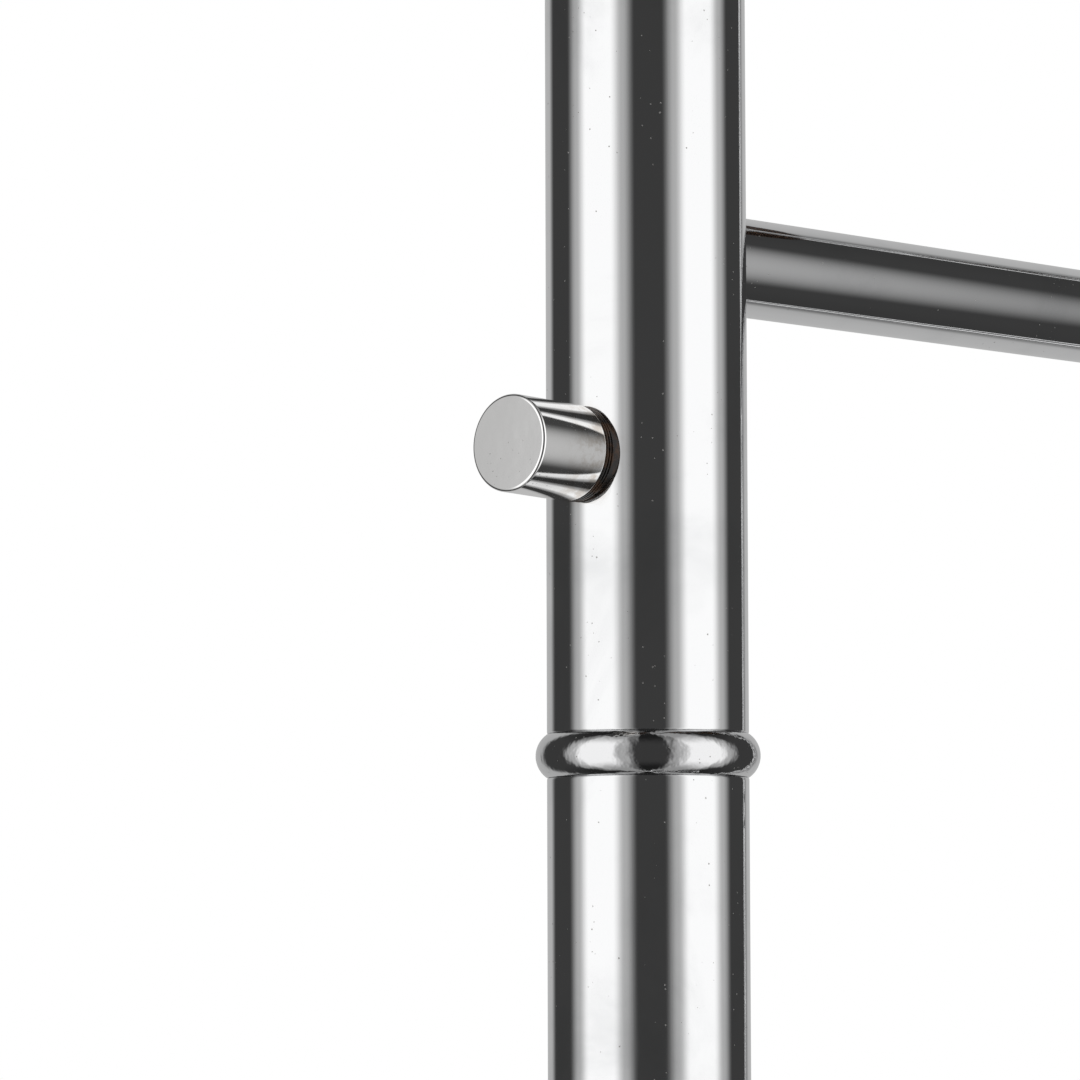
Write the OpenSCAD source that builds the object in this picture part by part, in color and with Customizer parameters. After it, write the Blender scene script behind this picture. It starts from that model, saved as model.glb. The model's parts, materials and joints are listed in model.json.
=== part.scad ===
// Valet stand in chromed steel tube: two posts on two foot rails, each post in two sections with a
// beaded ring at the joint. A hanger, a tray, a trouser bar and shoe rails are carried between the
// posts, and a screw-in peg on the outside of each post locks its joint.
// Millimetres, +Z up. The origin is on the floor under the middle of the stand, the front is -Y.

/* [Posts] */
// Distance between the axes of the two posts
post_spacing = 300; // [240:5:370]
// Outside diameter of the post tube
post_d = 32; // [26:0.5:38]
// Wall of the post tube
post_wall = 1.5; // [1.2:0.1:2]
// Height of the middle of the joint between the post sections
joint_z = 660; // [540:5:800]

/* [Joint ring and spigot] */
// Height of the ring between the two post sections
ring_h = 6.9; // [5:0.1:9]
// How far the rounded bead stands out from the post
ring_bulge = 1.8; // [1:0.1:3]
// Wall of the spigot inside the joint
spigot_wall = 2.5; // [2:0.1:3.5]
// Length of spigot in the lower post
spigot_below = 55; // [40:1:80]
// Length of spigot above the peg's axis
spigot_over_peg = 14; // [12:1:30]

/* [Pegs] */
// Height of the peg's axis over the middle of the joint
peg_above_joint = 46.2; // [35:0.1:70]
// Diameter of the peg
peg_d = 15.3; // [13:0.1:20]
// Length of the peg
peg_len = 14.5; // [12:0.5:40]
// How much narrower than the peg the washer between peg and post is
peg_washer_step = 0.2; // [0:0.1:3]
// Thickness of the washer on the crown of the post
peg_washer_t = 1.8; // [1:0.1:4]
// Bevel of the peg's edges
peg_bevel = 0.5; // [0.2:0.1:1]
// Rise of the peg's axis towards its free end, in degrees
peg_rake = 2.4; // [0:0.1:5]

/* [Bars] */
// Outside diameter of the trouser bar, tray bar and shoe rails
bar_d = 16; // [12:0.5:20]
// Wall of the bar tube
bar_wall = 1.2; // [1:0.1:2]
// Height of the trouser bar over the middle of the joint
trouser_bar_above_joint = 80; // [70:1:120]
// Height of the tray bar over the trouser bar
tray_bar_above_trouser_bar = 195; // [160:1:240]

/* [Base] */
// Length of a foot rail with its end plugs
foot_len = 330; // [280:5:400]
// How much thicker the foot rail tube is than the post
foot_over_post = 6; // [3:0.5:15]
// Wall of the foot rail tube
foot_wall = 1.5; // [1.2:0.1:2.5]
// Thickness of the end plug outside the tube
foot_plug_t = 4; // [2:0.5:8]
// Distance of the front and rear shoe rails from the posts
shoe_rail_y = 104; // [80:1:120]
// Distance of a glide's axis from the end of the foot rail
glide_inset = 27; // [24:1:45]

/* [Glides] */
// Diameter of a glide's pad on the floor
pad_d = 30; // [24:1:36]
// Height of the pad
pad_h = 9; // [8:0.5:14]
// Width across the flats of the glide screw's hexagon
glide_hex = 13; // [11:0.5:16]
// Thickness of that hexagon
glide_hex_t = 5; // [4:0.5:7]

/* [Hanger] */
// Width over the shoulders
hanger_w = 450; // [430:5:540]
// Height of the middle of the hanger over the tray bar
hanger_above_tray_bar = 157; // [130:1:200]
// Half thickness in the middle
hanger_half_t = 13; // [12:0.5:16]
// Half depth at the neck, front to back
neck_half_depth = 15; // [12:0.5:20]
// Wood in front of and behind a post, where the hanger takes it
hanger_cheek = 11; // [9:0.5:16]
// How far the shoulder ends come forward
shoulder_forward = 12; // [0:1:16]
// Fall of the shoulders for each millimetre outwards
shoulder_slope = 0.3; // [0.2:0.01:0.4]
// Depth of the socket that takes the post's end
post_socket = 12; // [8:0.5:14]

/* [Tray] */
// Gap between the tray and each post
tray_gap = 16; // [8:1:40]
// Depth of the tray, front to back
tray_depth = 128; // [100:1:160]
// Height of the tray's rim over its underside
tray_h = 19; // [15:0.5:30]
// Wall of the rim
tray_rim = 6; // [4:0.5:10]
// Thickness of the tray's floor
tray_floor = 5; // [3:0.5:8]
// Thickness of the leather liner
liner_t = 1.6; // [1:0.1:3]

/* [Screws] */
// Diameter of the peg studs, glide screws and foot bolts
screw_d = 8; // [6:1:10]
// Diameter of the hanger screws
hanger_screw_d = 6; // [5:1:8]

/* [Hidden] */
$fn = 96;

LEFT = -1;
RIGHT = 1;
FRONT = -1;
REAR = 1;
over = 1;               // how far a cutting shape runs past a face
slip = 0.05;            // radial gap of a piece that sits in another
thread_gap = 0.05;      // radial gap between a screw and its thread, drawn as plain cylinders
turn_gap = 0.1;         // gap between faces that turn or travel on each other
bolt_clearance = 0.4;   // radial gap of a screw in a plain hole

post_x = post_spacing / 2;
post_r = post_d / 2;
post_bore_r = post_r - post_wall;
bar_r = bar_d / 2;
foot_r = post_r + foot_over_post / 2;
foot_bore_r = foot_r - foot_wall;
screw_r = screw_d / 2;
nut_bore_r = screw_r + thread_gap;
screw_hole_r = screw_r + bolt_clearance;

trouser_bar_z = joint_z + trouser_bar_above_joint;
tray_bar_z = trouser_bar_z + tray_bar_above_trouser_bar;
hanger_z = tray_bar_z + hanger_above_tray_bar;
peg_z = joint_z + peg_above_joint;

spigot_r = post_bore_r - slip;
spigot_bore_r = spigot_r - spigot_wall;
spigot_top = peg_z + spigot_over_peg;
spigot_bottom = joint_z - ring_h / 2 - spigot_below;
spigot_nut_r = screw_r + 2.6;
spigot_nut_len = 7;
peg_back_x = post_r + peg_washer_t;
peg_washer_r = (peg_d - peg_washer_step) / 2;
peg_end_wall = 4.5;     // solid metal between the stud and the peg's free end
peg_hole_depth = peg_len - peg_end_wall;
stud_tip_x = spigot_bore_r - spigot_nut_len - 0.5;

glide_gap = 0.5;        // between the hexagon and the pad below it, and the rail above it
foot_bottom_z = pad_h + 2 * glide_gap + glide_hex_t;
foot_z = foot_bottom_z + foot_r;
foot_tube_len = foot_len - 2 * foot_plug_t;
glide_y = foot_len / 2 - glide_inset;
insert_r = screw_r + 2;
insert_len = 15;
insert_top_z = foot_bottom_z + insert_len;
glide_screw_top_z = insert_top_z - 1;
pivot_r = screw_r - 0.5;
pivot_len = 6;

base_nut_t = 10;
base_nut_z = foot_z + foot_r + 5;
bolt_head_r = screw_r + 2.5;
bolt_head_t = 4.4;
bolt_socket_af = 5;
saddle_r = bolt_head_r + 2;
saddle_t = 1.6;

crown_len = 40;         // half length of the rounding in the middle of the hanger
hanger_end_r = 18;      // rounding of the shoulder ends, seen from above
hanger_shoulder_half_t = hanger_half_t - 2;
hanger_fullness = 0.75; // power that squares the hanger's oval section
hanger_widening = 1.1;  // the full depth comes a little before the shoulder ends
hanger_tip = 0.004;     // square of the end section's share of the full depth
shoulder_half_depth = post_r + hanger_cheek;
post_top_z = hanger_z - hanger_drop(post_x) - hanger_shoulder_half_t + post_socket;
top_nut_t = 12;
hanger_screw_r = hanger_screw_d / 2;
hanger_head_r = hanger_screw_d * 0.9;
hanger_head_t = 3.4;
hanger_head_z = post_top_z + 4.5;

tray_w = post_spacing - post_d - 2 * tray_gap;
tray_corner_r = 20;
keel_len = tray_w - 2 * tray_corner_r;
keel_web = 4;           // wood over the tray bar
tray_z = tray_bar_z + bar_r + keel_web;
liner_edge = tray_rim + 0.5;
keel_edge = 3;          // wood outside the clips' ears
clip_t = 1.5;
clip_w = 16;
clip_inset = 22;        // from the end of the keel
clip_x = keel_len / 2 - clip_inset;
tray_screw_r = 1.75;
tray_screw_head_r = 3.6;
ear_y = bar_r + clip_t + tray_screw_head_r + 2.9;   // tray screws, in front of and behind the tray bar
ear_r = tray_screw_head_r + 2.4;
keel_w = 2 * (ear_y + ear_r + keel_edge);
tray_screw_head_t = 2.4;
tray_screw_len = 10;     // straight part of the screw over the clip's ear

// Children are drawn at the right-hand post's axis, with +X outwards.
module at_post(side) {
    translate([side * post_x, 0, 0]) mirror([side < 0 ? 1 : 0, 0, 0]) children();
}

// Children are drawn along the peg's raked axis: the origin is on the post's axis, with +X outwards.
module at_peg(side) {
    at_post(side) translate([0, 0, peg_z]) rotate([0, -peg_rake, 0]) children();
}

// Children are drawn about a glide's axis.
module at_glide(side, end) {
    translate([side * post_x, end * glide_y, 0]) children();
}

module pipe(outer_r, inner_r, length) {
    difference() {
        cylinder(r = outer_r, h = length);
        translate([0, 0, -over]) cylinder(r = inner_r, h = length + 2 * over);
    }
}

// A rod along +X from x0 to x1, at the height z.
module rod_x(r, x0, x1, z = 0) {
    translate([x0, 0, z]) rotate([0, 90, 0]) cylinder(r = r, h = x1 - x0);
}

module rod_z(r, z0, z1) {
    translate([0, 0, z0]) cylinder(r = r, h = z1 - z0);
}

module hexagon(across_flats, z0, z1) {
    translate([0, 0, z0]) cylinder(d = across_flats / cos(30), h = z1 - z0, $fn = 6);
}

// ---- Base ----

module foot_rail(side) {
    color("silver") difference() {
        translate([side * post_x, foot_tube_len / 2, foot_z]) rotate([90, 0, 0])
            pipe(foot_r, foot_bore_r, foot_tube_len);
        at_post(side) rod_z(screw_hole_r, foot_bottom_z - over, foot_z + foot_r + over);
        for (end = [FRONT, REAR])
            at_glide(side, end) rod_z(insert_r + slip, foot_bottom_z - over, foot_z);
    }
}

// Turned end plug: a flat disc with bevelled edges and a shank inside the tube.
module foot_plug(side, end) {
    bevel = 0.8;
    shank = 14;
    color("silver") translate([side * post_x, end * foot_tube_len / 2, foot_z]) rotate([-90 * end, 0, 0])
        rotate_extrude() polygon([[0, -shank], [foot_bore_r - slip - bevel, -shank],
            [foot_bore_r - slip, -shank + bevel], [foot_bore_r - slip, 0], [foot_r, 0],
            [foot_r, foot_plug_t - bevel], [foot_r - bevel, foot_plug_t], [0, foot_plug_t]]);
}

// Shoe rail, its ends coped to the foot rails.
module shoe_rail(y) {
    color("silver") difference() {
        translate([-post_x, y, foot_z]) rotate([0, 90, 0])
            pipe(bar_r, bar_r - bar_wall, post_spacing);
        for (side = [LEFT, RIGHT])
            translate([side * post_x, y, foot_z]) rotate([90, 0, 0])
                cylinder(r = foot_r, h = bar_d * 2, center = true);
    }
}

module saddle_washer(side) {
    color("silver") at_post(side) difference() {
        rod_z(saddle_r, foot_bottom_z - saddle_t, foot_z);
        rod_z(screw_hole_r, foot_bottom_z - saddle_t - over, foot_z + over);
        translate([0, 0, foot_z]) rotate([90, 0, 0]) cylinder(r = foot_r, h = saddle_r * 4, center = true);
    }
}

// Button-head bolt from under the rail into the nut in the post.
module foot_bolt(side) {
    seat_z = foot_bottom_z - saddle_t;
    head_z = seat_z - bolt_head_t;
    point = 1;
    tip_z = base_nut_z + base_nut_t + point;
    dome = 1.8;
    rim = 0.3;
    socket_floor = 1.6;
    color("dimgray") at_post(side) difference() {
        rotate_extrude() polygon([[0, head_z], [bolt_head_r - dome, head_z], [bolt_head_r - rim, head_z + dome],
            [bolt_head_r, seat_z], [screw_r, seat_z], [screw_r, tip_z - point], [screw_r - point, tip_z],
            [0, tip_z]]);
        hexagon(bolt_socket_af, head_z - over, seat_z - socket_floor);
    }
}

module base_nut(side) {
    color("dimgray") at_post(side) translate([0, 0, base_nut_z])
        pipe(post_bore_r - slip, nut_bore_r, base_nut_t);
}

// ---- Glides ----

module glide_inserts() {
    color("dimgray") for (side = [LEFT, RIGHT], end = [FRONT, REAR])
        at_glide(side, end) translate([0, 0, foot_bottom_z])
            pipe(insert_r, nut_bore_r, insert_top_z - foot_bottom_z);
}

// Moulded pad with a socket for the screw's pivot.
module glide_pad(side, end) {
    lip = 1.2;
    flat_h = 4;
    neck_r = glide_hex * 0.72;
    color("#1c1c1e") at_glide(side, end) difference() {
        rotate_extrude() polygon([[0, 0], [pad_d / 2 - lip, 0], [pad_d / 2, lip], [pad_d / 2, flat_h],
            [neck_r, pad_h], [0, pad_h]]);
        rod_z(pivot_r + turn_gap, pad_h - pivot_len - glide_gap, pad_h + over);
    }
}

module glide_screw(side, end) {
    hex_z = pad_h + glide_gap;
    color("silver") at_glide(side, end) union() {
        rod_z(pivot_r, pad_h - pivot_len, hex_z);
        hexagon(glide_hex, hex_z, hex_z + glide_hex_t);
        rod_z(screw_r, hex_z + glide_hex_t, glide_screw_top_z);
    }
}

// ---- Posts and their joints ----

// The foot of the lower section is coped to the rail.
module lower_post(side) {
    color("silver") difference() {
        at_post(side) translate([0, 0, foot_z])
            pipe(post_r, post_bore_r, joint_z - ring_h / 2 - foot_z);
        translate([side * post_x, 0, foot_z]) rotate([90, 0, 0])
            cylinder(r = foot_r, h = post_d * 2, center = true);
    }
}

module upper_post(side) {
    base_z = joint_z + ring_h / 2;
    color("silver") difference() {
        at_post(side) translate([0, 0, base_z]) pipe(post_r, post_bore_r, post_top_z - base_z);
        at_peg(side) rod_x(screw_hole_r, 0, post_r + over);
    }
}

// The bead is an arc that meets the post at both edges of the ring.
module joint_ring(side) {
    half_h = ring_h / 2;
    arc_r = (half_h * half_h + ring_bulge * ring_bulge) / (2 * ring_bulge);
    color("silver") at_post(side) translate([0, 0, joint_z]) rotate_extrude() union() {
        translate([spigot_r + slip, -half_h]) square([post_r - spigot_r - slip, ring_h]);
        intersection() {
            translate([post_r + ring_bulge - arc_r, 0]) circle(r = arc_r);
            translate([post_r - post_wall / 2, -half_h]) square([post_wall + ring_bulge, ring_h]);
        }
    }
}

module spigot(side) {
    color("dimgray") difference() {
        at_post(side) translate([0, 0, spigot_bottom])
            pipe(spigot_r, spigot_bore_r, spigot_top - spigot_bottom);
        at_peg(side) rod_x(nut_bore_r, 0, post_r);
    }
}

// Weld nut on the inside of the spigot, coped to its bore.
module spigot_nut(side) {
    color("dimgray") difference() {
        intersection() {
            at_peg(side) rod_x(spigot_nut_r, spigot_bore_r - spigot_nut_len, post_r);
            at_post(side) rod_z(spigot_bore_r, peg_z - post_d, peg_z + post_d);
        }
        at_peg(side) rod_x(nut_bore_r, 0, post_r);
    }
}

// ---- Pegs ----

module peg(side) {
    hole_r = screw_r + slip;
    color("silver") at_peg(side) translate([peg_back_x, 0, 0]) rotate([0, 90, 0])
        rotate_extrude() polygon([[hole_r, 0], [peg_d / 2 - peg_bevel, 0], [peg_d / 2, peg_bevel],
            [peg_d / 2, peg_len - peg_bevel], [peg_d / 2 - peg_bevel, peg_len], [0, peg_len],
            [0, peg_hole_depth], [hole_r, peg_hole_depth]]);
}

module peg_stud(side) {
    point = 0.8;
    stud_len = peg_back_x + peg_hole_depth - stud_tip_x;
    color("dimgray") at_peg(side) translate([stud_tip_x, 0, 0]) rotate([0, 90, 0])
        rotate_extrude()
            polygon([[0, 0], [screw_r - point, 0], [screw_r, point], [screw_r, stud_len], [0, stud_len]]);
}

// Saddle washer with two shallow grooves round its edge.
module peg_washer(side) {
    groove = 0.3;
    land = 0.5;
    pitch = 0.7;
    front_x = peg_back_x - turn_gap / 2;
    color("#2e2119") difference() {
        at_peg(side) rod_x(peg_washer_r, 0, front_x);
        at_peg(side) rod_x(screw_r + turn_gap, -over, peg_back_x + over);
        at_post(side) rod_z(post_r + turn_gap, peg_z - post_d, peg_z + post_d);
        for (i = [0, 1])
            at_peg(side) translate([front_x - land - i * pitch, 0, 0]) rotate([0, 90, 0])
                rotate_extrude() translate([peg_washer_r, 0]) circle(r = groove, $fn = 24);
    }
}

// ---- Bars ----

// A bar between the posts, its ends coped to them.
module cross_bar(z) {
    color("silver") difference() {
        translate([-post_x, 0, z]) rotate([0, 90, 0]) pipe(bar_r, bar_r - bar_wall, post_spacing);
        for (side = [LEFT, RIGHT]) at_post(side) rod_z(post_r, z - bar_d, z + bar_d);
    }
}

// ---- Tray ----

module rounded_plate(width, depth, corner_r, height) {
    linear_extrude(height) union() {
        square([width - 2 * corner_r, depth], center = true);
        square([width, depth - 2 * corner_r], center = true);
        for (x = [-1, 1], y = [-1, 1])
            translate([x * (width / 2 - corner_r), y * (depth / 2 - corner_r)]) circle(r = corner_r);
    }
}

// Tray with a keel under it that is grooved for the tray bar.
module tray() {
    color("#141416") difference() {
        union() {
            translate([0, 0, tray_z]) rounded_plate(tray_w, tray_depth, tray_corner_r, tray_h);
            translate([-keel_len / 2, -keel_w / 2, tray_bar_z]) cube([keel_len, keel_w, tray_z - tray_bar_z]);
        }
        translate([0, 0, tray_z + tray_floor])
            rounded_plate(tray_w - 2 * tray_rim, tray_depth - 2 * tray_rim, tray_corner_r - tray_rim, tray_h);
        rod_x(bar_r + slip, -tray_w, tray_w, tray_bar_z);
        at_tray_screws() rod_z(tray_screw_r + thread_gap, tray_bar_z - over, tray_bar_z + tray_screw_len);
    }
}

module tray_liner() {
    color("#26221f") translate([0, 0, tray_z + tray_floor])
        rounded_plate(tray_w - 2 * liner_edge, tray_depth - 2 * liner_edge, tray_corner_r - liner_edge,
            liner_t);
}

module at_tray_screws() {
    for (x = [-clip_x, clip_x], y = [-ear_y, ear_y]) translate([x, y, 0]) children();
}

// Half-round strap under the tray bar, with an ear on each side.
module tray_clip(side) {
    inner_r = bar_r + slip;
    color("silver") translate([side * clip_x, 0, 0]) difference() {
        union() {
            rod_x(inner_r + clip_t, -clip_w / 2, clip_w / 2, tray_bar_z);
            translate([-clip_w / 2, -ear_y - ear_r, tray_bar_z - clip_t])
                cube([clip_w, 2 * (ear_y + ear_r), clip_t]);
        }
        rod_x(inner_r, -clip_w, clip_w, tray_bar_z);
        translate([-clip_w, -keel_w, tray_bar_z]) cube([2 * clip_w, 2 * keel_w, bar_d]);
        for (y = [-ear_y, ear_y])
            translate([0, y, 0]) rod_z(tray_screw_r + bolt_clearance, tray_bar_z - bar_d, tray_bar_z + over);
    }
}

module tray_screws() {
    seat_z = tray_bar_z - clip_t;
    head_z = seat_z - tray_screw_head_t;
    tip_z = seat_z + tray_screw_len + 1.4;
    tip_r = 0.2;
    dome = 1.2;
    slot = [4.4, 1, over + 1.3];
    color("silver") at_tray_screws() difference() {
        rotate_extrude() polygon([[0, head_z], [tray_screw_head_r - dome, head_z],
            [tray_screw_head_r, head_z + dome], [tray_screw_head_r, seat_z], [tray_screw_r, seat_z],
            [tray_screw_r, seat_z + tray_screw_len], [tip_r, tip_z], [0, tip_z]]);
        for (turn = [0, 90])
            rotate([0, 0, turn]) translate([-slot[0] / 2, -slot[1] / 2, head_z - over]) cube(slot);
    }
}

// ---- Hanger ----

function ease(t) = t * t * (3 - 2 * t);
function hanger_drop(x) = shoulder_slope * (sqrt(x * x + crown_len * crown_len) - crown_len);
function hanger_share(x) = min(1, abs(x) / (hanger_w / 2));
function hanger_end(x) = let (past = max(0, abs(x) - (hanger_w / 2 - hanger_end_r)) / hanger_end_r)
    sqrt(max(hanger_tip, 1 - past * past));
function hanger_half_depth(x) = let (widening = ease(min(1, hanger_share(x) * hanger_widening)))
    (neck_half_depth + (shoulder_half_depth - neck_half_depth) * widening) * hanger_end(x);
function hanger_half_height(x) =
    (hanger_half_t + (hanger_shoulder_half_t - hanger_half_t) * ease(hanger_share(x))) * sqrt(hanger_end(x));
function full(v) = sign(v) * pow(abs(v), hanger_fullness);

// Swept body: each ring is a full oval in a plane across the hanger.
module hanger_body() {
    spans = 22;
    end_spans = 6;
    sides = 28;
    straight = hanger_w / 2 - hanger_end_r;
    half = concat([for (i = [1:spans]) straight * i / spans],
        [for (i = [1:end_spans]) straight + hanger_end_r * sin(90 * i / end_spans)]);
    stations = concat([for (i = [len(half) - 1:-1:0]) -half[i]], [0], half);
    rings = len(stations);
    points = [for (x = stations, k = [0:sides - 1]) let (a = 360 * k / sides)
        [x, -shoulder_forward * pow(hanger_share(x), 3) + hanger_half_depth(x) * full(cos(a)),
            hanger_z - hanger_drop(x) + hanger_half_height(x) * full(sin(a))]];
    skin = [for (i = [0:rings - 2], k = [0:sides - 1]) let (n = (k + 1) % sides, a = i * sides, b = a + sides)
        each [[a + k, b + k, b + n], [a + k, b + n, a + n]]];
    ends = [[for (k = [0:sides - 1]) k], [for (k = [sides - 1:-1:0]) (rings - 1) * sides + k]];
    polyhedron(points, concat(skin, ends));
}

module hanger() {
    color("#141416") difference() {
        hanger_body();
        for (side = [LEFT, RIGHT]) at_post(side) {
            rod_z(post_r + slip, post_top_z - 3 * post_socket, post_top_z);
            rod_z(hanger_screw_r + bolt_clearance, post_top_z - over, hanger_z + post_d);
            rod_z(hanger_head_r + bolt_clearance, hanger_head_z, hanger_z + post_d);
        }
    }
}

module hanger_screw(side) {
    tip_z = post_top_z - top_nut_t;
    top_z = hanger_head_z + hanger_head_t;
    point = 0.6;
    rim = 0.3;
    dome = 2;
    socket_af = 4;
    socket_floor = 1.2;
    color("silver") at_post(side) difference() {
        rotate_extrude() polygon([[0, tip_z], [hanger_screw_r - point, tip_z], [hanger_screw_r, tip_z + point],
            [hanger_screw_r, hanger_head_z], [hanger_head_r, hanger_head_z],
            [hanger_head_r - rim, (hanger_head_z + top_z) / 2], [hanger_head_r - dome, top_z], [0, top_z]]);
        hexagon(socket_af, hanger_head_z + socket_floor, top_z + over);
    }
}

module top_nut(side) {
    color("dimgray") at_post(side) translate([0, 0, post_top_z - top_nut_t])
        pipe(post_bore_r - slip, hanger_screw_r + thread_gap, top_nut_t);
}

// ---- Nodes ----

foot_rail(LEFT);  // foot_rail_left
foot_rail(RIGHT);  // foot_rail_right
foot_plug(LEFT, FRONT);  // foot_plug_front_left
foot_plug(LEFT, REAR);  // foot_plug_rear_left
foot_plug(RIGHT, FRONT);  // foot_plug_front_right
foot_plug(RIGHT, REAR);  // foot_plug_rear_right
shoe_rail(-shoe_rail_y);  // shoe_rail_front
shoe_rail(0);  // shoe_rail_middle
shoe_rail(shoe_rail_y);  // shoe_rail_rear
lower_post(LEFT);  // lower_post_left
lower_post(RIGHT);  // lower_post_right
base_nut(LEFT);  // base_nut_left
base_nut(RIGHT);  // base_nut_right
foot_bolt(LEFT);  // foot_bolt_left
foot_bolt(RIGHT);  // foot_bolt_right
saddle_washer(LEFT);  // saddle_washer_left
saddle_washer(RIGHT);  // saddle_washer_right
spigot(LEFT);  // spigot_left
spigot(RIGHT);  // spigot_right
spigot_nut(LEFT);  // spigot_nut_left
spigot_nut(RIGHT);  // spigot_nut_right
joint_ring(LEFT);  // joint_ring_left
joint_ring(RIGHT);  // joint_ring_right
upper_post(LEFT);  // upper_post_left
upper_post(RIGHT);  // upper_post_right
peg(LEFT);  // peg_left
peg(RIGHT);  // peg_right
peg_stud(LEFT);  // peg_stud_left
peg_stud(RIGHT);  // peg_stud_right
peg_washer(LEFT);  // peg_washer_left
peg_washer(RIGHT);  // peg_washer_right
cross_bar(trouser_bar_z);  // trouser_bar
cross_bar(tray_bar_z);  // tray_bar
tray();
tray_liner();
tray_clip(LEFT);  // tray_clip_left
tray_clip(RIGHT);  // tray_clip_right
tray_screws();
top_nut(LEFT);  // top_nut_left
top_nut(RIGHT);  // top_nut_right
hanger();
hanger_screw(LEFT);  // hanger_screw_left
hanger_screw(RIGHT);  // hanger_screw_right
glide_inserts();
glide_pad(LEFT, FRONT);  // glide_pad_front_left
glide_pad(LEFT, REAR);  // glide_pad_rear_left
glide_pad(RIGHT, FRONT);  // glide_pad_front_right
glide_pad(RIGHT, REAR);  // glide_pad_rear_right
glide_screw(LEFT, FRONT);  // glide_screw_front_left
glide_screw(LEFT, REAR);  // glide_screw_rear_left
glide_screw(RIGHT, FRONT);  // glide_screw_front_right
glide_screw(RIGHT, REAR);  // glide_screw_rear_right
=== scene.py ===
import bmesh
import bpy
import json
import math
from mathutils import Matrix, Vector


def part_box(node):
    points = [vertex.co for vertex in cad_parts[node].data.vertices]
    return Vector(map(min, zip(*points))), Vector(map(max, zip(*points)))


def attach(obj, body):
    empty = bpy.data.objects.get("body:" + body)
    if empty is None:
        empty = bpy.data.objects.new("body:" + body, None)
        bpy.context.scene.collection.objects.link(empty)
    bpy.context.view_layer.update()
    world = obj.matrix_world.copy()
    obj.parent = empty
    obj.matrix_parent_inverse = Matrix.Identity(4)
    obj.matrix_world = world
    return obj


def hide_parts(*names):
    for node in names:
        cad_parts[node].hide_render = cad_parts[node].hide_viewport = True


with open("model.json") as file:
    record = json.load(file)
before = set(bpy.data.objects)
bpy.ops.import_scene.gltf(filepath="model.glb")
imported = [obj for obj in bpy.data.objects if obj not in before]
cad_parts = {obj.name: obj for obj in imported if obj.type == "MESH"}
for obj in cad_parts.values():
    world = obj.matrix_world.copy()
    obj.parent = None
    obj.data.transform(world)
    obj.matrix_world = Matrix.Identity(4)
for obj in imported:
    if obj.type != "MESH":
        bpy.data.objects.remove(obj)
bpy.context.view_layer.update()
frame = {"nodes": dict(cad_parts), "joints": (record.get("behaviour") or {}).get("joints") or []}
print("frame loaded:", len(frame["nodes"]), "nodes")

mm = 0.001
sides = ("left", "right")
ends = ("front", "rear")
xAxis, yAxis, zAxis = Vector((1, 0, 0)), Vector((0, 1, 0)), Vector((0, 0, 1))


def clearSelection():
    for obj in list(bpy.context.selected_objects):
        obj.select_set(False)


def pickUp(obj):
    clearSelection()
    obj.select_set(True)
    bpy.context.view_layer.objects.active = obj


def middle(node):
    low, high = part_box(node)
    return (Vector(low) + Vector(high)) / 2


def spanOf(node):
    low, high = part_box(node)
    return Vector(high) - Vector(low)


def applyPlace(obj):
    pickUp(obj)
    bpy.ops.object.transform_apply(location=True, rotation=True, scale=True)


def selectParts(obj, faces=None, edges=None, points=None):
    # in edit mode: selects by place, with everything else let go
    bpy.ops.mesh.select_all(action="DESELECT")
    work = bmesh.from_edit_mesh(obj.data)
    for face in work.faces:
        if faces and faces(face):
            face.select_set(True)
    for edge in work.edges:
        if edges and edges(edge):
            edge.select_set(True)
    for point in work.verts:
        if points and points(point):
            point.select_set(True)
    bmesh.update_edit_mesh(obj.data)


def cutAway(obj, cutter, mode="DIFFERENCE"):
    pickUp(obj)
    tool = obj.modifiers.new("cut", "BOOLEAN")
    tool.operation, tool.solver, tool.object = mode, "EXACT", cutter
    bpy.ops.object.modifier_apply(modifier=tool.name)
    bpy.data.objects.remove(cutter, do_unlink=True)


def sliceAt(obj, places, normal):
    # extra rings across a piece, so that a cut near one end doesn't disturb the shading of the rest
    pickUp(obj)
    bpy.ops.object.mode_set(mode="EDIT")
    for place in places:
        bpy.ops.mesh.select_all(action="SELECT")
        bpy.ops.mesh.bisect(plane_co=place, plane_no=normal)
    bpy.ops.object.mode_set(mode="OBJECT")


def finishPiece(obj, name, body, material, nodes=(), sharpAngle=32, flatFaces=True):
    obj.name = name
    obj.data.name = name
    pickUp(obj)
    bpy.ops.object.mode_set(mode="EDIT")
    bpy.ops.mesh.select_all(action="SELECT")
    bpy.ops.mesh.remove_doubles(threshold=0.000001)
    bpy.ops.mesh.delete_loose()
    bpy.ops.mesh.select_all(action="SELECT")
    bpy.ops.mesh.normals_make_consistent(inside=False)
    bpy.ops.object.mode_set(mode="OBJECT")
    bpy.ops.object.shade_smooth_by_angle(angle=math.radians(sharpAngle))
    if flatFaces:  # keeps the wide faces flat beside their rounded edges
        even = obj.modifiers.new("even", "WEIGHTED_NORMAL")
        even.keep_sharp = True
        bpy.ops.object.modifier_apply(modifier=even.name)
    obj.data.materials.clear()
    obj.data.materials.append(material)
    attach(obj, body)
    if nodes:
        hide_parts(*nodes)
    return obj


def addRod(radius, start, end, vertices):
    start, end = Vector(start), Vector(end)
    along = end - start
    turn = along.to_track_quat("Z", "Y").to_euler()
    clearSelection()
    bpy.ops.mesh.primitive_cylinder_add(vertices=vertices, radius=radius, depth=along.length,
                                        location=(start + end) / 2, rotation=turn)
    rod = bpy.context.object
    applyPlace(rod)
    return rod


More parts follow.
